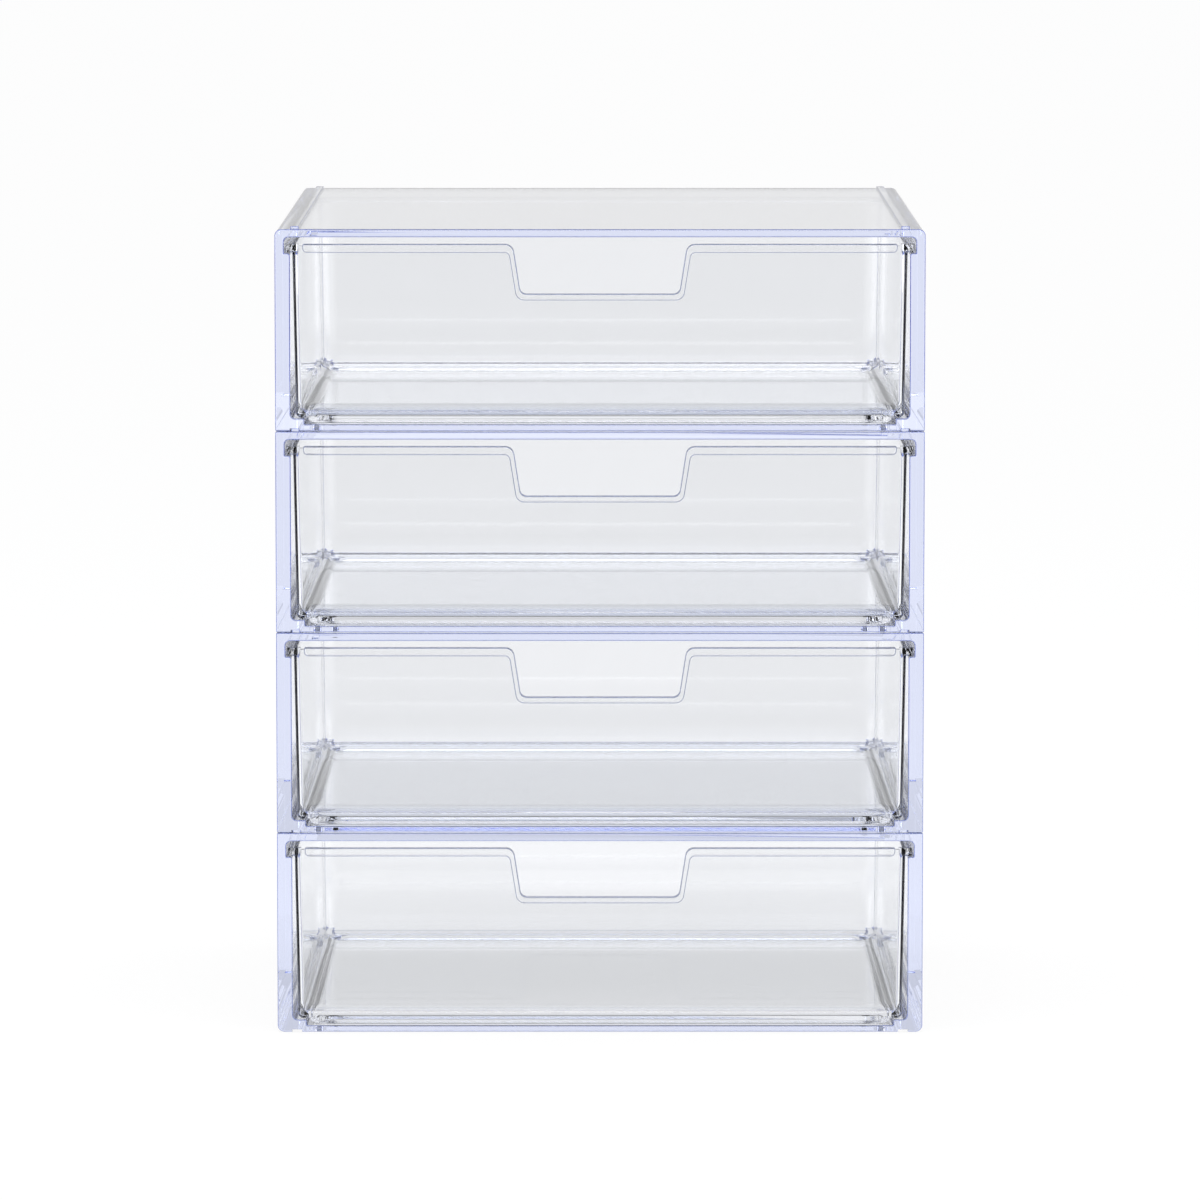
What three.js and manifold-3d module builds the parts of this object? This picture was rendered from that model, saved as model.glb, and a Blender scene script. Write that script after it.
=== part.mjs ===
// Drawer organizer: four identical clear moulded modules stacked into one tower.
// A module is a casing that is open at the front, a drawer that slides in it and four feet.
// Millimetres. +X is to the right of a person who faces the drawers, +Y runs to the back and +Z is up.
// The origin is on the floor, under the middle of the tower.

import * as THREE from 'three';
import { mergeVertices } from 'three/addons/utils/BufferGeometryUtils.js';
import Module from 'manifold-3d';

const wasm = await Module();
wasm.setup();

// Tower
const moduleCount = 4;
const caseWidth = 311;
const caseDepth = 272;
const caseHeight = 96.7;
const backNarrowing = 4.5; // mould draft: how far each side has come in at the back

// Casing
const topThickness = 3.8;
const baseThickness = 3.1;
const backThickness = 3;
const upperWall = 4.4; // side wall beside the drawer's rim
const ledgeWidth = 2.9; // the side wall is this much thicker below the rim and carries it
const ledgeRound = 1.2;
const stepWidth = 6.6; // low guide step along the foot of each side wall
const stepHeight = 2.8;
const stepRound = 2.4;
const ceilingRound = 2.4;
const freeCorner = 3.2; // round along the tower's own top and bottom edges
const meetingCorner = 0.5; // round where two modules meet

// Rails on the casing's top, which enter grooves under the module above
const railWidth = 4;
const railHeight = 1.2;
const railInset = 7.4;
const railEndGap = 4;
const railClearance = 0.4;

// Feet
const footRadius = 1.8;
const footThickness = 1.6;
const footDrop = 0.4; // how far a foot stands out of its recess
const footChamfer = 0.3;
const footSideInset = 19.5;
const footEndInset = 14;
const footClearance = 0.3;

// Drawer
const frontSetback = 1;
const headroom = 7.1; // from the drawer's rim to the top of the casing
const runningGap = 0.3; // between the drawer and the ledge, the steps, the base and the rear stop
const drawerWall = 2.9; // front panel
const sideWall = 1.8; // sides and rear of the tray
const floorThickness = 3.1;
const sideClearance = 1; // between the tray's side walls and the casing, at the rim
const keelClearance = 2; // between the guide steps and the keel, the tray's lower part
const keelRearInset = 1.5; // how far the keel ends before the tray's rear wall
const rearSpace = 14; // between the tray and the casing's back
const wallDraft = 1.6; // how far each wall of the tray has come in at the bottom
const trayFrontRound = 2.6;
const trayRearRound = 10;
const trayBottomRound = 2.4;
const keelRound = 2;
const hollowFrontRound = 1.6;
const hollowRearRound = 8.2;
const hollowFloorRound = 7;

// Rim of the drawer
const rimHeight = 4.2;
const flangeThickness = 2.2;
const lipWidth = 2;
const rearFlange = 4;
const earClearance = 0.8; // between the rim's lip and the casing

// Finger notch and the bead that runs along the rim and round the notch
const notchWidth = 83.2;
const notchTaper = 3.7; // how far each side of the notch has come in at its bottom
const notchDepth = 23.8;
const notchTopRound = 4.5;
const notchBottomRound = 3.2;
const beadDrop = 4.3; // height of the bead along the rim
const beadSideWidth = 2.1;
const beadBottomWidth = 3.3;
const beadOuterRound = 4.4;
const beadStand = 0.6; // how far the bead stands out of the panel, on both faces
const beadRound = 0.9;
const beadEndSpace = 3.2; // between the bead's end and the tray's side wall

// Fineness of round corners and chamfers, in straight steps for each corner, and of round feet
const cornerSteps = 5;
const edgeSteps = 3;
const beadSteps = 2;
const footSides = 16;
const cutOverrun = 5;

// Sizes that follow
const caseHalf = caseWidth / 2;
const channelHalf = caseHalf - upperWall;
const bayHalf = channelHalf - ledgeWidth;
const ceiling = caseHeight - topThickness;
const rimTop = caseHeight - headroom;
const rimBottom = rimTop - rimHeight;
const ledgeTop = rimBottom - runningGap;
const stepTop = baseThickness + stepHeight;
const stepInner = bayHalf - stepWidth;
const pitch = caseHeight + footDrop;
const trayHalf = bayHalf - sideClearance;
const trayBottom = stepTop + runningGap;
const keelHalf = stepInner - keelClearance;
const keelBottom = baseThickness + runningGap;
const floorTop = keelBottom + floorThickness;
const trayRear = caseDepth - backThickness - rearSpace;
const drawerRear = trayRear + rearFlange;
const channelEnd = drawerRear + runningGap;
const earHalf = channelHalf - earClearance;
const footRecess = footThickness - footDrop;
const railHalf = caseHalf - railInset - railWidth / 2;
const grooveDepth = railHeight - footDrop + railClearance;
const notchTopHalf = notchWidth / 2;
const notchBottomHalf = notchTopHalf - notchTaper;

const footPlaces = {
  front_left: [footSideInset - caseHalf, footEndInset],
  front_right: [caseHalf - footSideInset, footEndInset],
  rear_left: [footSideInset - caseHalf, caseDepth - footEndInset],
  rear_right: [caseHalf - footSideInset, caseDepth - footEndInset],
};

const casingPlastic = new THREE.MeshStandardMaterial({
  color: 0xdde2fb, roughness: 0.06, metalness: 0, transparent: true, opacity: 0.35,
});
const drawerPlastic = new THREE.MeshStandardMaterial({
  color: 0xe8ebee, roughness: 0.06, metalness: 0, transparent: true, opacity: 0.35,
});
const footSilicone = new THREE.MeshStandardMaterial({ color: 0xeceffc, roughness: 0.4, metalness: 0 });

// A closed outline from corners [x, z, radius]: a radius rounds its corner with short straight steps.
function outline(corners, steps) {
  const points = [];
  corners.forEach(([x, z, radius = 0], index) => {
    const corner = new THREE.Vector2(x, z);
    if (radius === 0) {
      points.push(corner);
      return;
    }
    const [beforeX, beforeZ] = corners.at(index - 1);
    const [afterX, afterZ] = corners[(index + 1) % corners.length];
    const before = new THREE.Vector2(beforeX, beforeZ).sub(corner).normalize();
    const after = new THREE.Vector2(afterX, afterZ).sub(corner).normalize();
    const halfAngle = Math.acos(before.dot(after)) / 2;
    const reach = radius / Math.tan(halfAngle);
    const inward = before.clone().add(after).normalize();
    const centre = corner.clone().addScaledVector(inward, radius / Math.sin(halfAngle));
    const start = corner.clone().addScaledVector(before, reach).sub(centre);
    const turn = Math.PI - 2 * halfAngle;
    const way = Math.sign(before.cross(after)) * -1;
    for (let step = 0; step <= steps; step += 1) {
      const spoke = start.clone().rotateAround(new THREE.Vector2(), (way * turn * step) / steps);
      points.push(centre.clone().add(spoke));
    }
  });
  return points;
}

// The same corners, followed by their mirror images in the middle plane.
function mirrored(corners) {
  const others = corners.map(([x, z, radius = 0]) => [-x, z, radius]);
  return [...corners, ...others.reverse()];
}

function solidOf(geometry) {
  geometry.deleteAttribute('normal');
  geometry.deleteAttribute('uv');
  const merged = mergeVertices(geometry);
  const vertProperties = new Float32Array(merged.attributes.position.array);
  const triVerts = new Uint32Array(merged.index.array);
  return new wasm.Manifold(new wasm.Mesh({ numProp: 3, vertProperties, triVerts }));
}

function geometryOf(solid) {
  const mesh = solid.getMesh();
  const geometry = new THREE.BufferGeometry();
  geometry.setAttribute('position', new THREE.BufferAttribute(mesh.vertProperties, 3));
  geometry.setIndex(new THREE.BufferAttribute(mesh.triVerts, 1));
  geometry.computeVertexNormals();
  return geometry;
}

// An upright outline of points (x, z), drawn out along Y.
function prism(points, frontY, backY, bevel = {}) {
  const settings = { depth: backY - frontY, bevelEnabled: false, ...bevel };
  const geometry = new THREE.ExtrudeGeometry(new THREE.Shape(points), settings);
  geometry.rotateX(Math.PI / 2);
  geometry.translate(0, backY, 0);
  return solidOf(geometry);
}

function block(lowX, highX, frontY, backY, lowZ, highZ) {
  const geometry = new THREE.BoxGeometry(highX - lowX, backY - frontY, highZ - lowZ);
  geometry.translate((lowX + highX) / 2, (frontY + backY) / 2, (lowZ + highZ) / 2);
  return solidOf(geometry);
}

// A closed skin over level rings that all have the same number of points.
function loft(rings) {
  const count = rings[0].length;
  const positions = rings.flat().flatMap((point) => [point.x, point.y, point.z]);
  const triangles = [];
  for (let level = 0; level + 1 < rings.length; level += 1) {
    for (let side = 0; side < count; side += 1) {
      const low = level * count + side;
      const lowNext = level * count + ((side + 1) % count);
      triangles.push(low, lowNext, lowNext + count, low, lowNext + count, low + count);
    }
  }
  const top = (rings.length - 1) * count;
  for (let side = 1; side + 1 < count; side += 1) {
    triangles.push(0, side + 1, side, top, top + side, top + side + 1);
  }
  const geometry = new THREE.BufferGeometry();
  geometry.setAttribute('position', new THREE.Float32BufferAttribute(positions, 3));
  geometry.setIndex(triangles);
  return solidOf(geometry);
}

// A tub with drafted walls and rounded corners, as a solid from its lowest level to its highest.
function tub({ half, front, rear, low, high, frontRound, rearRound, edgeRound }) {
  const ring = (inset, z) => {
    const comeIn = (wallDraft * (rimTop - z)) / (rimTop - keelBottom);
    const wallX = half - inset - comeIn;
    const frontY = front + inset;
    const rearY = rear - inset - comeIn;
    const corners = [
      [wallX, frontY, frontRound - inset],
      [wallX, rearY, rearRound - inset],
      [-wallX, rearY, rearRound - inset],
      [-wallX, frontY, frontRound - inset],
    ];
    return outline(corners, cornerSteps).map((point) => new THREE.Vector3(point.x, point.y, z));
  };
  const rings = [];
  for (let step = 0; step <= cornerSteps; step += 1) {
    const angle = ((Math.PI / 2) * step) / cornerSteps;
    rings.push(ring(edgeRound * (1 - Math.sin(angle)), low + edgeRound * (1 - Math.cos(angle))));
  }
  rings.push(ring(0, high));
  return loft(rings);
}

function makeCasing(topCorner, baseCorner) {
  const shell = prism(
    outline(
      mirrored([
        [caseHalf, caseHeight, topCorner],
        [caseHalf, 0, baseCorner],
      ]),
      edgeSteps,
    ),
    0,
    caseDepth,
  );
  const floorCorners = [
    [stepInner, baseThickness],
    [stepInner, stepTop],
    [bayHalf, stepTop, stepRound],
  ];
  const bay = outline(mirrored([...floorCorners, [bayHalf, ceiling, ceilingRound]]), cornerSteps);
  const channel = outline(
    mirrored([
      [bayHalf, ledgeTop - ledgeRound],
      [bayHalf + ledgeRound, ledgeTop],
      [channelHalf, ledgeTop],
      [channelHalf, ceiling, ceilingRound],
    ]),
    cornerSteps,
  );
  let casing = shell
    .subtract(prism(bay, -cutOverrun, caseDepth - backThickness))
    .subtract(prism(channel, -cutOverrun, channelEnd));
  for (const side of [-1, 1]) {
    const rail = side * railHalf;
    const reach = railWidth / 2;
    const ends = [railEndGap, caseDepth - railEndGap];
    casing = casing.add(
      block(rail - reach, rail + reach, ...ends, caseHeight - topThickness / 2, caseHeight + railHeight),
    );
    const cutReach = reach + railClearance;
    casing = casing.subtract(
      block(rail - cutReach, rail + cutReach, -cutOverrun, caseDepth + cutOverrun, -cutOverrun, grooveDepth),
    );
  }
  for (const [x, y] of Object.values(footPlaces)) {
    const recess = new THREE.CylinderGeometry(
      footRadius + footClearance,
      footRadius + footClearance,
      footRecess + cutOverrun,
      footSides,
    );
    recess.rotateX(Math.PI / 2);
    recess.translate(x, y, (footRecess - cutOverrun) / 2);
    casing = casing.subtract(solidOf(recess));
  }
  return casing;
}

function makeFoot([x, y]) {
  const profile = [
    [0, 0],
    [footRadius - footChamfer, 0],
    [footRadius, footChamfer],
    [footRadius, footThickness],
    [0, footThickness],
  ].map(([radius, height]) => new THREE.Vector2(radius, height));
  const foot = new THREE.LatheGeometry(profile, footSides);
  foot.rotateX(Math.PI / 2);
  foot.translate(x, y, -footDrop);
  return solidOf(foot);
}

// The front wall's upper edge, lowered and widened by an offset, from one side to the other.
function notchEdge(endX, offset) {
  return [
    [endX, rimTop - offset],
    [notchTopHalf + offset, rimTop - offset, notchTopRound - offset],
    [notchBottomHalf + offset, rimTop - notchDepth - offset, notchBottomRound + offset],
  ];
}

function makeBead() {
  const endX = trayHalf - sideWall - beadEndSpace;
  const lowerEdge = [
    [notchBottomHalf + beadSideWidth, rimTop - notchDepth - beadBottomWidth, beadOuterRound],
    [notchTopHalf + beadSideWidth, rimTop - beadDrop, notchTopRound - beadSideWidth],
    [endX, rimTop - beadDrop],
  ];
  const upperEdge = notchEdge(endX, 0);
  const right = [...lowerEdge, ...upperEdge];
  const left = right.map(([x, z, radius]) => [-x, z, radius]).reverse();
  const lowerCount = lowerEdge.length;
  const upperCount = upperEdge.length;
  const corners = [
    ...left.slice(upperCount),
    ...right.slice(0, lowerCount),
    ...right.slice(lowerCount),
    ...left.slice(0, upperCount),
  ];
  const bevel = {
    bevelEnabled: true,
    bevelThickness: beadRound,
    bevelSize: beadRound,
    bevelOffset: -beadRound,
    bevelSegments: beadSteps,
  };
  const frontY = frontSetback - beadStand + beadRound;
  const backY = frontSetback + drawerWall + beadStand - beadRound;
  return prism(outline(corners, cornerSteps), frontY, backY, bevel);
}

function makeDrawer() {
  const tray = tub({
    half: trayHalf,
    front: frontSetback,
    rear: trayRear,
    low: trayBottom,
    high: rimTop,
    frontRound: trayFrontRound,
    rearRound: trayRearRound,
    edgeRound: trayBottomRound,
  });
  const keel = tub({
    half: keelHalf + wallDraft,
    front: frontSetback,
    rear: trayRear - keelRearInset,
    low: keelBottom,
    high: floorTop + hollowFloorRound,
    frontRound: trayFrontRound,
    rearRound: trayRearRound,
    edgeRound: keelRound,
  });
  const hollow = tub({
    half: trayHalf - sideWall,
    front: frontSetback + drawerWall,
    rear: trayRear - sideWall,
    low: floorTop,
    high: rimTop + cutOverrun,
    frontRound: hollowFrontRound,
    rearRound: hollowRearRound,
    edgeRound: hollowFloorRound,
  });
  let drawer = tray
    .add(keel)
    .add(block(-earHalf, earHalf, frontSetback, frontSetback + drawerWall, rimBottom, rimTop))
    .add(block(-earHalf, earHalf, frontSetback, drawerRear, rimTop - flangeThickness, rimTop));
  for (const side of [-1, 1]) {
    const edges = [side * earHalf, side * (earHalf - lipWidth)].sort((a, b) => a - b);
    drawer = drawer.add(block(...edges, frontSetback, drawerRear, rimBottom, rimTop));
  }
  const cutEnd = trayHalf - sideWall - hollowFrontRound;
  const notch = [[cutEnd, rimTop + cutOverrun], ...notchEdge(cutEnd, beadRound)];
  const notchCut = prism(
    outline(mirrored(notch), cornerSteps),
    -cutOverrun,
    frontSetback + drawerWall + hollowFrontRound,
  );
  return drawer.subtract(hollow).subtract(notchCut).add(makeBead());
}

// The mould's draft in plan: every piece narrows evenly from the front to the back.
function narrowed(geometry) {
  const position = geometry.attributes.position;
  for (let index = 0; index < position.count; index += 1) {
    const share = (backNarrowing * position.getY(index)) / (caseDepth * caseHalf);
    position.setX(index, position.getX(index) * (1 - share));
  }
  geometry.computeVertexNormals();
  return geometry;
}

function piece(name, geometry, material) {
  const mesh = new THREE.Mesh(geometry, material);
  mesh.name = name;
  return mesh;
}

const casingForm = (topCorner, baseCorner) => narrowed(geometryOf(makeCasing(topCorner, baseCorner)));
const bottomCasing = casingForm(meetingCorner, freeCorner);
const middleCasing = casingForm(meetingCorner, meetingCorner);
const topCasing = casingForm(freeCorner, meetingCorner);
const drawerForm = narrowed(geometryOf(makeDrawer()));
const footForms = Object.entries(footPlaces).map(([corner, place]) => [
  corner,
  narrowed(geometryOf(makeFoot(place))),
]);

const tower = new THREE.Group();
tower.position.y = -caseDepth / 2;
for (let number = 1; number <= moduleCount; number += 1) {
  const module = new THREE.Group();
  module.position.z = (number - 1) * pitch + footDrop;
  const upperCasing = number === moduleCount ? topCasing : middleCasing;
  const casing = number === 1 ? bottomCasing : upperCasing;
  module.add(piece(`casing_${number}`, casing, casingPlastic));
  module.add(piece(`drawer_${number}`, drawerForm, drawerPlastic));
  for (const [corner, footForm] of footForms) {
    module.add(piece(`foot_${number}_${corner}`, footForm, footSilicone));
  }
  tower.add(module);
}

const organizer = new THREE.Group();
organizer.add(tower);
export default organizer;
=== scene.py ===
import math

import bmesh
import bpy
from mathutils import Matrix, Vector


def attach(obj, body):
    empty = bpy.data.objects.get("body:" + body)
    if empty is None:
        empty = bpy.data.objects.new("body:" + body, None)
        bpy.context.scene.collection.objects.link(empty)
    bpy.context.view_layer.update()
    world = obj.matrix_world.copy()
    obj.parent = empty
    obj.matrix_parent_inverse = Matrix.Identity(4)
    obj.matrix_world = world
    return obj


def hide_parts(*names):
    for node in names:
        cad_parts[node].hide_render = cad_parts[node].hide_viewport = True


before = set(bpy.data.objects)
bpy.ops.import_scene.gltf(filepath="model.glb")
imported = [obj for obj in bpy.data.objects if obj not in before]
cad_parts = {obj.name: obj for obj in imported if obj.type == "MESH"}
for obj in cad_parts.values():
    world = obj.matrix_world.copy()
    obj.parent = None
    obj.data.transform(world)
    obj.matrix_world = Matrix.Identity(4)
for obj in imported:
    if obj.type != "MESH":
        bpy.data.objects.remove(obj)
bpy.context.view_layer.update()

# Clear moulded drawer tower. Sizes are in millimetres until a mesh is made, which is in metres.
# A module's own frame has X across, Y from its front edge to the back and Z up from its underside.
MM = 0.001
MODULES = 4
CASE_WIDTH = 311.0
CASE_DEPTH = 272.0
CASE_HEIGHT = 96.7
BACK_NARROWING = 4.5  # how much further in each side is at the back

# Casing
TOP_THICKNESS = 3.8
BASE_THICKNESS = 3.1
BACK_THICKNESS = 3.0
UPPER_WALL = 4.4
LEDGE_WIDTH = 2.9
LEDGE_ROUND = 1.2
LEDGE_CORNER = 0.4
STEP_WIDTH = 6.6
STEP_HEIGHT = 2.8
STEP_ROUND = 2.4
STEP_CORNER = 0.5
STEP_FOOT_ROUND = 0.6
CEILING_ROUND = 2.4
FREE_CORNER = 3.2  # the tower's own top and bottom corners
MEETING_CORNER = 0.5  # corners where two modules meet
CASING_EDGE = 0.7
MOUTH_EDGE = 0.7
BAY_BACK_ROUND = 1.2
CHANNEL_BACK_ROUND = 0.5

# Rails and feet
RAIL_WIDTH = 4.0
RAIL_HEIGHT = 1.2
RAIL_INSET = 7.4
RAIL_END_GAP = 4.0
RAIL_CORNER = 0.8
RAIL_EDGE = 0.4
RAIL_CLEARANCE = 0.4
FOOT_RADIUS = 1.8
FOOT_THICKNESS = 1.6
FOOT_DROP = 0.4
FOOT_EDGE = 0.35
FOOT_SIDE_INSET = 19.5
FOOT_END_INSET = 14.0
FOOT_CLEARANCE = 0.3
RECESS_EDGE = 0.2

# Drawer
FRONT_SETBACK = 1.0
HEADROOM = 7.1
RUNNING_GAP = 0.3
DRAWER_WALL = 2.9  # front panel
SIDE_WALL = 1.8  # sides and rear of the tray
FLOOR_THICKNESS = 3.1
SIDE_CLEARANCE = 1.0
KEEL_CLEARANCE = 2.0
KEEL_REAR_INSET = 1.5
REAR_SPACE = 14.0
WALL_DRAFT = 1.6
TRAY_FRONT_ROUND = 2.6
TRAY_REAR_ROUND = 9.0
TRAY_BOTTOM_ROUND = 2.4
KEEL_ROUND = 2.0
HOLLOW_FRONT_ROUND = 1.6
HOLLOW_REAR_ROUND = 8.2
HOLLOW_FLOOR_ROUND = 7.0
RIM_HEIGHT = 4.2
RIM_CORNER = 0.4
RIM_EDGE = 0.3
FLANGE_THICKNESS = 2.2
FLANGE_CORNER = 1.2
LIP_WIDTH = 2.0
REAR_FLANGE = 4.0
EAR_CLEARANCE = 0.8
EAR_EDGE = 1.4

# Finger notch and bead
NOTCH_WIDTH = 83.2
NOTCH_TAPER = 3.7
NOTCH_DEPTH = 23.8
NOTCH_TOP_ROUND = 4.5
NOTCH_BOTTOM_ROUND = 3.2
BEAD_DROP = 4.3
BEAD_SIDE_WIDTH = 2.1
BEAD_BOTTOM_WIDTH = 3.3
BEAD_OUTER_ROUND = 4.4
BEAD_STAND = 0.6
BEAD_ROUND = 0.95
BEAD_END_SPACE = 3.2

# Meshing
CORNER_STEPS = 8
EDGE_STEPS = 3
FOOT_SIDES = 48
OVERRUN = 5.0  # how far a cutter runs past what it cuts
LEAST_ROUND = 0.04
CREASE = math.radians(32)
NORMAL_WEIGHT = 90

# Limits for a strip of a small rounded edge, which on the plastics takes the painted edge shade: how far its
# normal lies along any axis, how far along Y, and its width in metres
FLAT_SHARE = 0.97
STEEP_SHARE = 0.8
NARROW_FACE = 0.0006

# Plastics: lower and upper tint, the colour that thick stretches let through and their density.
# The edge ones are painted shade: dark blue on the strips of small rounded edges, in place of the dark lines and
# blue that refraction and long light paths give there.
PLASTICS = {
    "casing_plastic": ((0.956, 0.964, 0.988, 1), (0.966, 0.975, 0.998, 1), (0.1, 0.27, 0.97, 1), 0.9),
    "drawer_plastic": ((0.98, 0.983, 0.986, 1), (0.988, 0.991, 0.994, 1), (0.4, 0.5, 0.9, 1), 0.2),
    "casing_edge_painted_shade": ((0.16, 0.22, 0.62, 1), (0.24, 0.3, 0.7, 1), (0.1, 0.27, 0.87, 1), 0.9),
    "drawer_edge_painted_shade": ((0.13, 0.16, 0.3, 1), (0.2, 0.23, 0.38, 1), (0.4, 0.5, 0.7, 1), 0.2),
}
PLASTIC_IOR = 1.5
PLASTIC_ROUGHNESS = 0.01
HAZE_SCALE = 55.0
HAZE_DETAIL = 4.0

# Silicone of the feet
SILICONE_LOW = (0.72, 0.76, 0.9, 1)
SILICONE_HIGH = (0.8, 0.84, 0.95, 1)
SILICONE_IOR = 1.41
SILICONE_TRANSMISSION = 0.75
SILICONE_ROUGHNESS = 0.3
SILICONE_ROUGHER = 0.2  # added where the grain is full
SILICONE_GRAIN = 900.0
SILICONE_DETAIL = 3.0
BUMP_STRENGTH = 0.2
BUMP_DISTANCE = 0.0002

# Studio light: how far it falls off for mirror images, by the direction or the place that they show
FRONT_FALL = 0.88
WORLD_FALL_LOW = 0.2
WORLD_FALL_HIGH = -0.15
WORLD_FALL_STEEP = 0.25
WORLD_HIGH_Z = (0.08, 0.1)
WORLD_STEEP_Z = (0.09, 0.17)
WORLD_DARK_Z = (0.2, 0.14)
WORLD_DARK_Y = (-0.6, -0.9)
WORLD_SOFT = 0.9  # the world as a lamp
WORLD_SOFT_COLOUR = (0.98, 0.99, 1, 1)
FLOOR_DARK_Y = (-0.14, -0.3)
FLOOR_DARK_X = (1.0, 0.5)
WHITE = (1, 1, 1, 1)

# Floor paper, in metres: how much of it glows for the camera, and through the plastic near and far. Through the
# plastic it glows less near the tower: painted shade there, which also lets the paper's real shadow show more.
FLOOR_REACH = 12.0
FLOOR_GLOW_DIRECT = 0.9
FLOOR_GLOW_NEAR = 0.78
FLOOR_GLOW_FAR = 0.93
FLOOR_FAR_Y = (0.3, 1.2)
PAPER_LOW = (0.89, 0.89, 0.9, 1)
PAPER_HIGH = (0.91, 0.91, 0.91, 1)
PAPER_GRAIN = 30.0

# Camera: sensor and lens in millimetres, the rest in metres and radians
SENSOR_WIDTH = 36.0
CAMERA_LENS = 268.76
CAMERA_REACH = 100.0
CAMERA_DISTANCE = 4.267  # from the tower's front
CAMERA_HEIGHT = 0.7198
CAMERA_TILT = 0.11886

# Lamps: name, place and size in metres, power in watts
LAMP_TARGET = (0, 0, 0.2)
LAMPS = (
    ("soft_top", (0.0, -0.6, 2.2), (1.6, 1.2), 18),
    ("soft_side", (-1.7, -0.2, 0.9), (1.8, 1.6), 14),
    ("soft_side", (1.7, -0.2, 0.9), (1.8, 1.6), 14),
)
BOUNCES = 40
TRANSPARENT_BOUNCES = 16

# Sizes that follow
CASE_HALF = CASE_WIDTH / 2
CHANNEL_HALF = CASE_HALF - UPPER_WALL
BAY_HALF = CHANNEL_HALF - LEDGE_WIDTH
CEILING = CASE_HEIGHT - TOP_THICKNESS
RIM_TOP = CASE_HEIGHT - HEADROOM
RIM_BOTTOM = RIM_TOP - RIM_HEIGHT
LEDGE_TOP = RIM_BOTTOM - RUNNING_GAP
STEP_TOP = BASE_THICKNESS + STEP_HEIGHT
STEP_INNER = BAY_HALF - STEP_WIDTH
PITCH = CASE_HEIGHT + FOOT_DROP
TRAY_HALF = BAY_HALF - SIDE_CLEARANCE
TRAY_BOTTOM = STEP_TOP + RUNNING_GAP
KEEL_HALF = STEP_INNER - KEEL_CLEARANCE
KEEL_BOTTOM = BASE_THICKNESS + RUNNING_GAP
FLOOR_TOP = KEEL_BOTTOM + FLOOR_THICKNESS
TRAY_REAR = CASE_DEPTH - BACK_THICKNESS - REAR_SPACE
DRAWER_REAR = TRAY_REAR + REAR_FLANGE
CHANNEL_END = DRAWER_REAR + RUNNING_GAP
EAR_HALF = CHANNEL_HALF - EAR_CLEARANCE
FOOT_RECESS = FOOT_THICKNESS - FOOT_DROP
RAIL_HALF = CASE_HALF - RAIL_INSET - RAIL_WIDTH / 2
GROOVE_DEPTH = RAIL_HEIGHT - FOOT_DROP + RAIL_CLEARANCE
NOTCH_TOP_HALF = NOTCH_WIDTH / 2
NOTCH_BOTTOM_HALF = NOTCH_TOP_HALF - NOTCH_TAPER
FOOT_PLACES = {
    "front_left": (FOOT_SIDE_INSET - CASE_HALF, FOOT_END_INSET),
    "front_right": (CASE_HALF - FOOT_SIDE_INSET, FOOT_END_INSET),
    "rear_left": (FOOT_SIDE_INSET - CASE_HALF, CASE_DEPTH - FOOT_END_INSET),
    "rear_right": (CASE_HALF - FOOT_SIDE_INSET, CASE_DEPTH - FOOT_END_INSET),
}


# Outlines and solids

def outline(corners, inset=0.0):
    """Points of a closed outline that runs anticlockwise: corners (u, v, radius), drawn in by an inset."""
    places = [Vector(corner[:2]) for corner in corners]
    count = len(places)
    sides = [(places[(i + 1) % count] - places[i]).normalized() for i in range(count)]
    points = []
    for index, corner in enumerate(corners):
        before, after = sides[index - 1], sides[index]
        turn = math.atan2(before.cross(after), before.dot(after))
        normals = Vector((-before.y, before.x)) + Vector((-after.y, after.x))
        place = places[index] + normals * (inset / (1 + before.dot(after)))
        radius = corner[2] if len(corner) > 2 else 0.0
        if radius == 0.0:
            points.append(place)
            continue
        side = math.copysign(1.0, turn)
        radius = max(radius - inset * side, LEAST_ROUND)
        reach = radius * math.tan(abs(turn) / 2)
        start = place - before * reach
        centre = start + Vector((-before.y, before.x)) * (radius * side)
        spoke = start - centre
        for step in range(CORNER_STEPS + 1):
            angle = turn * step / CORNER_STEPS
            cos, sin = math.cos(angle), math.sin(angle)
            turned = Vector((spoke.x * cos - spoke.y * sin, spoke.x * sin + spoke.y * cos))
            points.append(centre + turned)
    return points


def mirrored(corners):
    """Right-hand corners, from the lowest up, followed by their mirror images from the highest down."""
    return [*corners, *((-corner[0], *corner[1:]) for corner in reversed(corners))]


def rectangle(left, right, front, back, front_round=0.0, back_round=0.0):
    """Corners of a level rectangle, from the front left one round to the back left one."""
    return [(left, front, front_round), (right, front, front_round),
            (right, back, back_round), (left, back, back_round)]


def skin(name, rings):
    """A closed mesh over rings of equally many points, each in millimetres."""
    count = len(rings[0])
    points = [(x * MM, y * MM, z * MM) for ring in rings for x, y, z in ring]
    faces = []
    for row in range(len(rings) - 1):
        for side in range(count):
            low, following = row * count + side, row * count + (side + 1) % count
            faces.append((low, following, following + count, low + count))
    last = (len(rings) - 1) * count
    faces.append(tuple(range(count - 1, -1, -1)))
    faces.append(tuple(range(last, last + count)))
    mesh = bpy.data.meshes.new(name)
    mesh.from_pydata(points, [], faces)
    shape = bmesh.new()
    shape.from_mesh(mesh)
    bmesh.ops.recalc_face_normals(shape, faces=shape.faces)
    shape.to_mesh(mesh)
    shape.free()
    piece = bpy.data.objects.new(name, mesh)
    bpy.context.scene.collection.objects.link(piece)
    return piece


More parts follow.
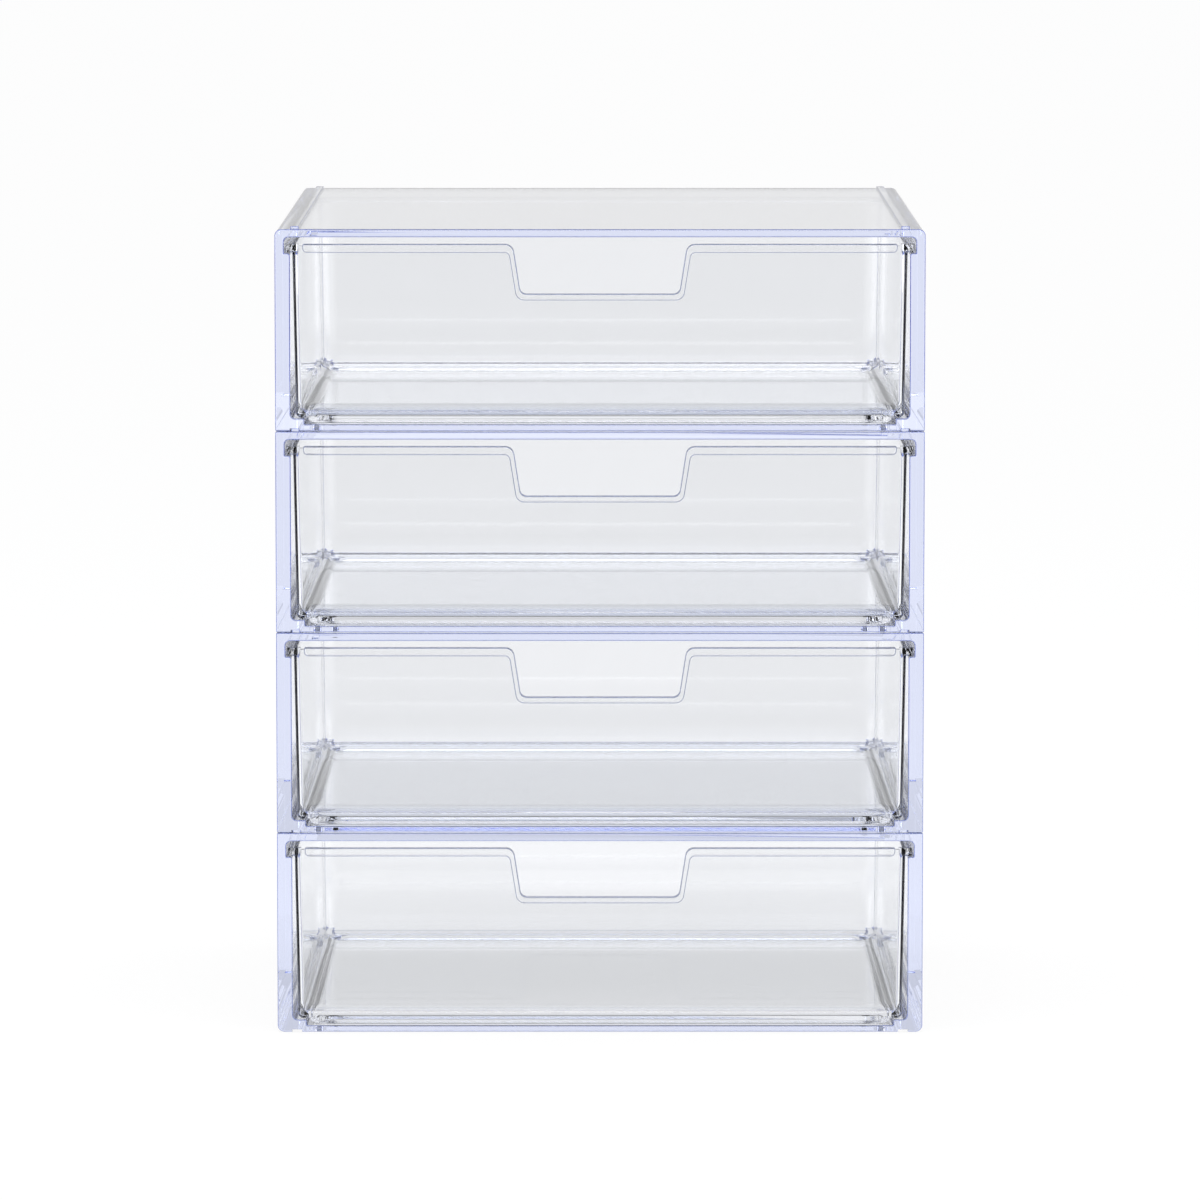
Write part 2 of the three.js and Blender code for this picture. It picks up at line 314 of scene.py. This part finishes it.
def edge_levels(start, end, start_round, end_round):
    """(place along the piece, inset) pairs: a positive rounding draws the edge in, a negative one
    flares it."""
    levels = []
    for step in range(EDGE_STEPS + 1) if start_round else (EDGE_STEPS,):
        angle = math.pi / 2 * step / EDGE_STEPS
        levels.append((start + abs(start_round) * (1 - math.cos(angle)), start_round * (1 - math.sin(angle))))
    for step in range(EDGE_STEPS + 1) if end_round else (0,):
        angle = math.pi / 2 * step / EDGE_STEPS
        levels.append((end - abs(end_round) * (1 - math.sin(angle)), end_round * (1 - math.cos(angle))))
    return levels


def upright(name, corners, front, back, front_round=0.0, back_round=0.0):
    """An outline of (x, z) corners drawn out from front to back, with rounded edges at both ends."""
    rings = [
        [(point.x, y, point.y) for point in outline(corners, inset)]
        for y, inset in edge_levels(front, back, front_round, back_round)
    ]
    return skin(name, rings)


def level(name, corners, low, high, low_round=0.0, high_round=0.0):
    """An outline of (x, y) corners drawn out from low to high, with rounded edges at both ends.
    The corners may be a function of the height."""
    rings = []
    for z, inset in edge_levels(low, high, low_round, high_round):
        drafted = corners(z) if callable(corners) else corners
        rings.append([(point.x, point.y, z) for point in outline(drafted, inset)])
    return skin(name, rings)


def disc(name, x, y, radius, low, high, low_round, high_round):
    rings = []
    for z, inset in edge_levels(low, high, low_round, high_round):
        ring = []
        for side in range(FOOT_SIDES):
            angle = 2 * math.pi * side / FOOT_SIDES
            reach = radius - inset
            ring.append((x + reach * math.cos(angle), y + reach * math.sin(angle), z))
        rings.append(ring)
    return skin(name, rings)


def combine(piece, other, operation):
    modifier = piece.modifiers.new(operation, "BOOLEAN")
    modifier.object = other
    modifier.operation = operation
    modifier.solver = "MANIFOLD"
    graph = bpy.context.evaluated_depsgraph_get()
    mesh = bpy.data.meshes.new_from_object(piece.evaluated_get(graph))
    piece.modifiers.clear()
    piece.data = mesh
    bpy.data.objects.remove(other)
    return piece


def join(piece, other):
    return combine(piece, other, "UNION")


def cut(piece, other):
    return combine(piece, other, "DIFFERENCE")


# Casing

def mouth_cutter(name, corners, back, back_round):
    """A cutter for a hollow that is open at the front, where it flares over the rounded front edge."""
    rings = [[(point.x, -OVERRUN, point.y) for point in outline(corners, -MOUTH_EDGE)]]
    for y, inset in edge_levels(0.0, back, -MOUTH_EDGE, back_round):
        rings.append([(point.x, y, point.y) for point in outline(corners, inset)])
    return skin(name, rings)


def bay_cutter():
    """The space for a tray, with a low guide step along the foot of each side wall."""
    corners = mirrored([
        (STEP_INNER, BASE_THICKNESS, STEP_FOOT_ROUND),
        (STEP_INNER, STEP_TOP, STEP_CORNER),
        (BAY_HALF, STEP_TOP, STEP_ROUND),
        (BAY_HALF, CEILING, CEILING_ROUND),
    ])
    return mouth_cutter("bay", corners, CASE_DEPTH - BACK_THICKNESS, BAY_BACK_ROUND)


def channel_cutter():
    """The space for the drawer's flange, over the ledges."""
    corners = mirrored([
        (BAY_HALF, LEDGE_TOP - 2 * LEDGE_ROUND),
        (BAY_HALF, LEDGE_TOP, LEDGE_ROUND),
        (CHANNEL_HALF, LEDGE_TOP, LEDGE_CORNER),
        (CHANNEL_HALF, CEILING, CEILING_ROUND),
    ])
    return mouth_cutter("channel", corners, CHANNEL_END, CHANNEL_BACK_ROUND)


def add_rail(casing, x):
    """A rail on the top, and under the base a groove for the rail of the module below."""
    reach = RAIL_WIDTH / 2 + RAIL_CLEARANCE
    groove = rectangle(x - reach, x + reach, -OVERRUN, CASE_DEPTH + OVERRUN)
    cut(casing, level("groove", groove, -OVERRUN, GROOVE_DEPTH))
    reach = RAIL_WIDTH / 2
    rail = rectangle(x - reach, x + reach, RAIL_END_GAP, CASE_DEPTH - RAIL_END_GAP, RAIL_CORNER, RAIL_CORNER)
    rail_low, rail_high = CASE_HEIGHT - TOP_THICKNESS / 2, CASE_HEIGHT + RAIL_HEIGHT
    join(casing, level("rail", rail, rail_low, rail_high, 0.0, RAIL_EDGE))


def casing_form(top_corner, base_corner):
    outer = mirrored([(CASE_HALF, 0.0, base_corner), (CASE_HALF, CASE_HEIGHT, top_corner)])
    casing = upright("casing", outer, 0.0, CASE_DEPTH, CASING_EDGE, CASING_EDGE)
    cut(casing, bay_cutter())
    cut(casing, channel_cutter())
    for side in (-1, 1):
        add_rail(casing, side * RAIL_HALF)
    for x, y in FOOT_PLACES.values():
        cut(casing, disc("recess", x, y, FOOT_RADIUS + FOOT_CLEARANCE, -OVERRUN, FOOT_RECESS, 0.0, RECESS_EDGE))
    return casing


# Drawer

def tub_draft(half, front, rear, front_round, rear_round):
    """Corners of a tub's level outline, which the draft draws in towards the floor."""
    def corners(z):
        come_in = WALL_DRAFT * (RIM_TOP - min(z, RIM_TOP)) / (RIM_TOP - KEEL_BOTTOM)
        side, back = half - come_in, rear - come_in
        return rectangle(-side, side, front, back, front_round, rear_round)
    return corners


def hollow_cutter():
    """A cutter for the tray's inside, which flares over the rounded rim."""
    corners = tub_draft(TRAY_HALF - SIDE_WALL, FRONT_SETBACK + DRAWER_WALL, TRAY_REAR - SIDE_WALL,
                        HOLLOW_FRONT_ROUND, HOLLOW_REAR_ROUND)
    rings = []
    for z, inset in edge_levels(FLOOR_TOP, RIM_TOP, HOLLOW_FLOOR_ROUND, -RIM_EDGE):
        rings.append([(point.x, point.y, z) for point in outline(corners(z), inset)])
    rings.append([(x, y, RIM_TOP + OVERRUN) for x, y, z in rings[-1]])
    return skin("hollow", rings)


def notch_edge(end, offset):
    """The front wall's upper edge on the right, from the side to the middle, lowered and widened
    by an offset."""
    return [
        (end, RIM_TOP - offset),
        (NOTCH_TOP_HALF + offset, RIM_TOP - offset, NOTCH_TOP_ROUND - offset),
        (NOTCH_BOTTOM_HALF + offset, RIM_TOP - NOTCH_DEPTH - offset, NOTCH_BOTTOM_ROUND + offset),
    ]


def notch_cutter():
    end = TRAY_HALF - SIDE_WALL - HOLLOW_FRONT_ROUND
    corners = mirrored([*reversed(notch_edge(end, BEAD_ROUND)), (end, RIM_TOP + OVERRUN)])
    return upright("notch", corners, -OVERRUN, FRONT_SETBACK + DRAWER_WALL + HOLLOW_FRONT_ROUND)


def bead_form():
    """The bead along the front rim and round the finger notch."""
    end = TRAY_HALF - SIDE_WALL - BEAD_END_SPACE
    lower = [
        (NOTCH_BOTTOM_HALF + BEAD_SIDE_WIDTH, RIM_TOP - NOTCH_DEPTH - BEAD_BOTTOM_WIDTH, BEAD_OUTER_ROUND),
        (NOTCH_TOP_HALF + BEAD_SIDE_WIDTH, RIM_TOP - BEAD_DROP, NOTCH_TOP_ROUND - BEAD_SIDE_WIDTH),
        (end, RIM_TOP - BEAD_DROP, BEAD_DROP / 2),
    ]
    upper = notch_edge(end, 0.0)
    upper[0] = (*upper[0], BEAD_ROUND + LEAST_ROUND)
    front, back = FRONT_SETBACK - BEAD_STAND, FRONT_SETBACK + DRAWER_WALL + BEAD_STAND
    return upright("bead", mirrored([*lower, *upper]), front, back, BEAD_ROUND, BEAD_ROUND)


def add_rim(drawer):
    """The front panel's wings, and the flange with its lips that runs back along the ledges."""
    ears = mirrored([(EAR_HALF, RIM_BOTTOM, RIM_CORNER), (EAR_HALF, RIM_TOP, RIM_CORNER)])
    join(drawer, upright("ears", ears, FRONT_SETBACK, FRONT_SETBACK + DRAWER_WALL, EAR_EDGE, EAR_EDGE))
    flange = rectangle(-EAR_HALF, EAR_HALF, FRONT_SETBACK, DRAWER_REAR, RIM_CORNER, FLANGE_CORNER)
    join(drawer, level("flange", flange, RIM_TOP - FLANGE_THICKNESS, RIM_TOP, RIM_EDGE, RIM_EDGE))
    for side in (-1, 1):
        left, right = sorted((side * EAR_HALF, side * (EAR_HALF - LIP_WIDTH)))
        lip = rectangle(left, right, FRONT_SETBACK, DRAWER_REAR - FLANGE_CORNER, RIM_CORNER, RIM_CORNER)
        join(drawer, level("lip", lip, RIM_BOTTOM, RIM_TOP - RIM_EDGE, RIM_EDGE, 0.0))


def drawer_form():
    tray = tub_draft(TRAY_HALF, FRONT_SETBACK, TRAY_REAR, TRAY_FRONT_ROUND, TRAY_REAR_ROUND)
    drawer = level("drawer", tray, TRAY_BOTTOM, RIM_TOP, TRAY_BOTTOM_ROUND, 0.0)
    keel = tub_draft(KEEL_HALF + WALL_DRAFT, FRONT_SETBACK, TRAY_REAR - KEEL_REAR_INSET,
                     KEEL_ROUND + TRAY_FRONT_ROUND, TRAY_REAR_ROUND)
    join(drawer, level("keel", keel, KEEL_BOTTOM, FLOOR_TOP + HOLLOW_FLOOR_ROUND, KEEL_ROUND, 0.0))
    add_rim(drawer)
    cut(drawer, hollow_cutter())
    cut(drawer, notch_cutter())
    return join(drawer, bead_form())


# From a form to a piece in the tower

def small_round(mesh, face):
    """Whether a face is a strip of a small rounded edge that stands steeply to the front: on the plastics, these
    strips take the painted edge shade.
    """
    normal = [abs(part) for part in face.normal]
    corners = [mesh.vertices[index].co for index in face.vertices]
    longest = max((corners[side] - corners[side - 1]).length for side in range(len(corners)))
    return max(normal) < FLAT_SHARE and normal[1] < STEEP_SHARE and face.area < NARROW_FACE * longest


def finished_mesh(piece):
    """Narrows a piece towards the back, puts it in the tower's frame and smooths its round corners."""
    mesh = piece.data
    for vertex in mesh.vertices:
        depth = vertex.co.y / MM
        vertex.co.x *= 1 - BACK_NARROWING * depth / (CASE_DEPTH * CASE_HALF)
        vertex.co.y -= CASE_DEPTH / 2 * MM
    mesh.materials.clear()
    mesh.update()
    mesh.polygons.foreach_set("use_smooth", [True] * len(mesh.polygons))
    # Strips of small rounded edges take the second finish, which on the plastics is painted edge shade.
    mesh.polygons.foreach_set("material_index", [int(small_round(mesh, face)) for face in mesh.polygons])
    mesh.set_sharp_from_angle(angle=CREASE)
    bpy.data.objects.remove(piece)
    return mesh


def place(name, mesh, number, finishes, body, node, slot):
    """Puts a mesh in module number: its small rounded edges take the second of the two finishes, which on the
    plastics is painted shade.
    """
    piece = bpy.data.objects.new(name, mesh)
    bpy.context.scene.collection.objects.link(piece)
    piece.location.z = ((number - 1) * PITCH + FOOT_DROP) * MM
    weighted = piece.modifiers.new("weighted_normals", "WEIGHTED_NORMAL")
    weighted.keep_sharp = True
    weighted.weight = NORMAL_WEIGHT
    if not mesh.materials:
        for finish in finishes:
            mesh.materials.append(finish)
    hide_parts(node)
    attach(piece, body)


# Finishes

class Field:
    """A number that changes over a surface: it wraps a socket, and arithmetic on it adds Math nodes."""

    def __init__(self, finish, socket):
        self.finish = finish
        self.socket = socket

    def arithmetic(self, operation, first, second):
        return self.finish.node("ShaderNodeMath", {"operation": operation}, {0: first, 1: second})["Value"]

    def __add__(self, other):
        return self.arithmetic("ADD", self, other)

    def __radd__(self, other):
        return self.arithmetic("ADD", other, self)

    def __sub__(self, other):
        return self.arithmetic("SUBTRACT", self, other)

    def __rsub__(self, other):
        return self.arithmetic("SUBTRACT", other, self)

    def __mul__(self, other):
        return self.arithmetic("MULTIPLY", self, other)

    def __rmul__(self, other):
        return self.arithmetic("MULTIPLY", other, self)

    def at_most_one(self):
        return self.arithmetic("MINIMUM", self, 1.0)


class Finish:
    """Builds the node tree of a material or of the world."""

    def __init__(self, tree):
        self.tree = tree
        tree.nodes.clear()

    def node(self, kind, settings=None, sockets=None):
        """Adds a node. Its inputs are given by name or number, as values or fields."""
        node = self.tree.nodes.new(kind)
        for setting, value in (settings or {}).items():
            setattr(node, setting, value)
        for name, value in (sockets or {}).items():
            if isinstance(name, int):
                socket = node.inputs[name]
            else:
                socket = next(taken for taken in node.inputs if taken.enabled and taken.name == name)
            if isinstance(value, Field):
                self.tree.links.new(value.socket, socket)
            else:
                socket.default_value = value
        return {output.name: Field(self, output) for output in node.outputs if output.enabled}

    def ramp(self, value, ends):
        """0 at the first end and 1 at the second, smooth between them."""
        return self.node("ShaderNodeMapRange", {"interpolation_type": "SMOOTHSTEP"}, {
            "Value": value, "From Min": ends[0], "From Max": ends[1], "To Min": 0.0, "To Max": 1.0})["Result"]

    def mirrored_light(self, path, ahead, fall=0.0):
        """How much less light comes to a mirror image: the studio is dim ahead of the drawers."""
        return path["Glossy Depth"].at_most_one() * (fall + ahead * (FRONT_FALL - fall))


def new_finish(name):
    material = bpy.data.materials.new(name)
    material.use_nodes = True
    return material, Finish(material.node_tree)


def clear_plastic(name, tint_low, tint_high, absorb_colour, absorb_density):
    """Polished clear moulding: thick stretches take on its tint, with a little haze in its surface."""
    material, finish = new_finish(name)
    place_in_piece = finish.node("ShaderNodeTexCoord")["Object"]
    haze = finish.node("ShaderNodeTexNoise", None, {
        "Vector": place_in_piece, "Scale": HAZE_SCALE, "Detail": HAZE_DETAIL})
    colour = finish.node("ShaderNodeMix", {"data_type": "RGBA"}, {
        "Factor": haze["Fac"], "A": tint_low, "B": tint_high})
    surface = finish.node("ShaderNodeBsdfPrincipled", None, {
        "Base Color": colour["Result"],
        "Roughness": haze["Fac"] * PLASTIC_ROUGHNESS,
        "IOR": PLASTIC_IOR,
        "Transmission Weight": 1.0,
    })
    body = finish.node("ShaderNodeVolumeAbsorption", None, {"Color": absorb_colour, "Density": absorb_density})
    finish.node("ShaderNodeOutputMaterial", None, {"Surface": surface["BSDF"], "Volume": body["Volume"]})
    return material


def foot_silicone():
    material, finish = new_finish("foot_silicone")
    place_in_piece = finish.node("ShaderNodeTexCoord")["Object"]
    grain = finish.node("ShaderNodeTexNoise", None, {
        "Vector": place_in_piece, "Scale": SILICONE_GRAIN, "Detail": SILICONE_DETAIL})
    colour = finish.node("ShaderNodeMix", {"data_type": "RGBA"}, {
        "Factor": grain["Fac"], "A": SILICONE_LOW, "B": SILICONE_HIGH})
    bump = finish.node("ShaderNodeBump", None, {
        "Height": grain["Fac"], "Strength": BUMP_STRENGTH, "Distance": BUMP_DISTANCE})
    surface = finish.node("ShaderNodeBsdfPrincipled", None, {
        "Base Color": colour["Result"],
        "Roughness": grain["Fac"] * SILICONE_ROUGHER + SILICONE_ROUGHNESS,
        "IOR": SILICONE_IOR,
        "Transmission Weight": SILICONE_TRANSMISSION,
        "Normal": bump["Normal"],
    })
    finish.node("ShaderNodeOutputMaterial", None, {"Surface": surface["BSDF"]})
    return material


# Studio

def floor_paper():
    """White paper that mostly glows by itself, and less for mirror images of the floor ahead; seen through the
    plastic it glows less near the tower, which paints shade there.
    """
    material, finish = new_finish("floor_paper")
    path = finish.node("ShaderNodeLightPath")
    direct = path["Is Camera Ray"]
    through = path["Is Glossy Ray"] + path["Is Transmission Ray"]
    grain = finish.node("ShaderNodeTexNoise", None, {"Scale": PAPER_GRAIN})
    colour = finish.node("ShaderNodeMix", {"data_type": "RGBA"}, {
        "Factor": grain["Fac"], "A": PAPER_LOW, "B": PAPER_HIGH})
    paper = finish.node("ShaderNodeBsdfDiffuse", None, {"Color": colour["Result"]})
    spot = finish.node("ShaderNodeSeparateXYZ", None, {"Vector": finish.node("ShaderNodeNewGeometry")["Position"]})
    aside = finish.node("ShaderNodeMath", {"operation": "ABSOLUTE"}, {0: spot["X"]})["Value"]
    ahead = finish.ramp(spot["Y"], FLOOR_DARK_Y) * finish.ramp(aside, FLOOR_DARK_X)
    strength = 1 - finish.mirrored_light(path, ahead)
    glow = finish.node("ShaderNodeEmission", None, {"Color": WHITE, "Strength": strength})
    # Less glow near the tower for rays through the plastic: painted shade, on top of the paper's real shadow.
    far = finish.ramp(spot["Y"], FLOOR_FAR_Y)
    share_through = FLOOR_GLOW_NEAR + far * (FLOOR_GLOW_FAR - FLOOR_GLOW_NEAR)
    share = direct * FLOOR_GLOW_DIRECT + through.at_most_one() * share_through
    mix = finish.node("ShaderNodeMixShader", None, {0: share, 1: paper["BSDF"], 2: glow["Emission"]})
    finish.node("ShaderNodeOutputMaterial", None, {"Surface": mix["Shader"]})
    return material


def studio_floor():
    mesh = bpy.data.meshes.new("floor")
    corners = [(x * FLOOR_REACH, y * FLOOR_REACH, 0) for x, y in ((-1, -1), (1, -1), (1, 1), (-1, 1))]
    mesh.from_pydata(corners, [], [(0, 1, 2, 3)])
    floor = bpy.data.objects.new("floor", mesh)
    bpy.context.scene.collection.objects.link(floor)
    mesh.materials.append(floor_paper())


def studio_world():
    world = bpy.data.worlds.new("studio")
    bpy.context.scene.world = world
    world.use_nodes = True
    finish = Finish(world.node_tree)
    path = finish.node("ShaderNodeLightPath")
    seen = path["Is Camera Ray"] + path["Is Glossy Ray"] + path["Is Transmission Ray"]
    way = finish.node("ShaderNodeSeparateXYZ", None, {"Vector": finish.node("ShaderNodeTexCoord")["Generated"]})
    ahead = finish.ramp(way["Y"], WORLD_DARK_Y) * finish.ramp(way["Z"], WORLD_DARK_Z)
    high = finish.ramp(way["Z"], WORLD_HIGH_Z) * (WORLD_FALL_HIGH - WORLD_FALL_LOW)
    steep = finish.ramp(way["Z"], WORLD_STEEP_Z) * (WORLD_FALL_STEEP - WORLD_FALL_HIGH)
    strength = 1 - finish.mirrored_light(path, ahead, WORLD_FALL_LOW + high + steep)
    white = finish.node("ShaderNodeBackground", None, {"Color": WHITE, "Strength": strength})
    soft = finish.node("ShaderNodeBackground", None, {"Color": WORLD_SOFT_COLOUR, "Strength": WORLD_SOFT})
    mix = finish.node("ShaderNodeMixShader", None, {0: seen, 1: soft["Background"], 2: white["Background"]})
    finish.node("ShaderNodeOutputWorld", None, {"Surface": mix["Shader"]})


def studio_camera():
    data = bpy.data.cameras.new("camera")
    data.sensor_width = SENSOR_WIDTH
    data.lens = CAMERA_LENS
    data.clip_end = CAMERA_REACH
    view = bpy.data.objects.new("camera", data)
    bpy.context.scene.collection.objects.link(view)
    view.location = (0.0, -CASE_DEPTH / 2 * MM - CAMERA_DISTANCE, CAMERA_HEIGHT)
    view.rotation_euler = (math.pi / 2 - CAMERA_TILT, 0, 0)
    bpy.context.scene.camera = view


def lamp(name, place_at, size, power):
    data = bpy.data.lights.new(name, "AREA")
    data.shape = "RECTANGLE"
    data.size, data.size_y = size
    data.energy = power
    light = bpy.data.objects.new(name, data)
    bpy.context.scene.collection.objects.link(light)
    light.location = place_at
    light.rotation_euler = (Vector(LAMP_TARGET) - Vector(place_at)).to_track_quat("-Z", "Y").to_euler()


# The tower
plastics = {name: clear_plastic(name, *recipe) for name, recipe in PLASTICS.items()}
silicone = foot_silicone()
# Each plastic's second finish paints dark blue shade on its small rounded edges.
casing_finishes = plastics["casing_plastic"], plastics["casing_edge_painted_shade"]
drawer_finishes = plastics["drawer_plastic"], plastics["drawer_edge_painted_shade"]
foot_finishes = silicone, silicone

casings = {
    "top": finished_mesh(casing_form(FREE_CORNER, MEETING_CORNER)),
    "middle": finished_mesh(casing_form(MEETING_CORNER, MEETING_CORNER)),
    "bottom": finished_mesh(casing_form(MEETING_CORNER, FREE_CORNER)),
}
drawer_mesh = finished_mesh(drawer_form())
foot_meshes = {
    corner: finished_mesh(disc(f"foot_{corner}", x, y, FOOT_RADIUS, -FOOT_DROP, FOOT_RECESS, FOOT_EDGE, FOOT_EDGE))
    for corner, (x, y) in FOOT_PLACES.items()
}
for number in range(1, MODULES + 1):
    where = {1: "bottom", MODULES: "top"}.get(number, "middle")
    module, tray = f"module_{number}", f"tray_{number}"
    place(f"clear_casing_{number}", casings[where], number, casing_finishes,
          module, f"casing_{number}", "casing_plastic")
    place(f"clear_drawer_{number}", drawer_mesh, number, drawer_finishes,
          tray, f"drawer_{number}", "drawer_plastic")
    for corner, mesh in foot_meshes.items():
        place(f"clear_foot_{number}_{corner}", mesh, number, foot_finishes,
              module, f"foot_{number}_{corner}", "foot_silicone")

studio_floor()
studio_world()
studio_camera()
for name, place_at, size, power in LAMPS:
    lamp(name, place_at, size, power)

scene = bpy.context.scene
scene.view_settings.view_transform = "Standard"
scene.cycles.max_bounces = BOUNCES
scene.cycles.transmission_bounces = BOUNCES
scene.cycles.glossy_bounces = BOUNCES
scene.cycles.transparent_max_bounces = TRANSPARENT_BOUNCES
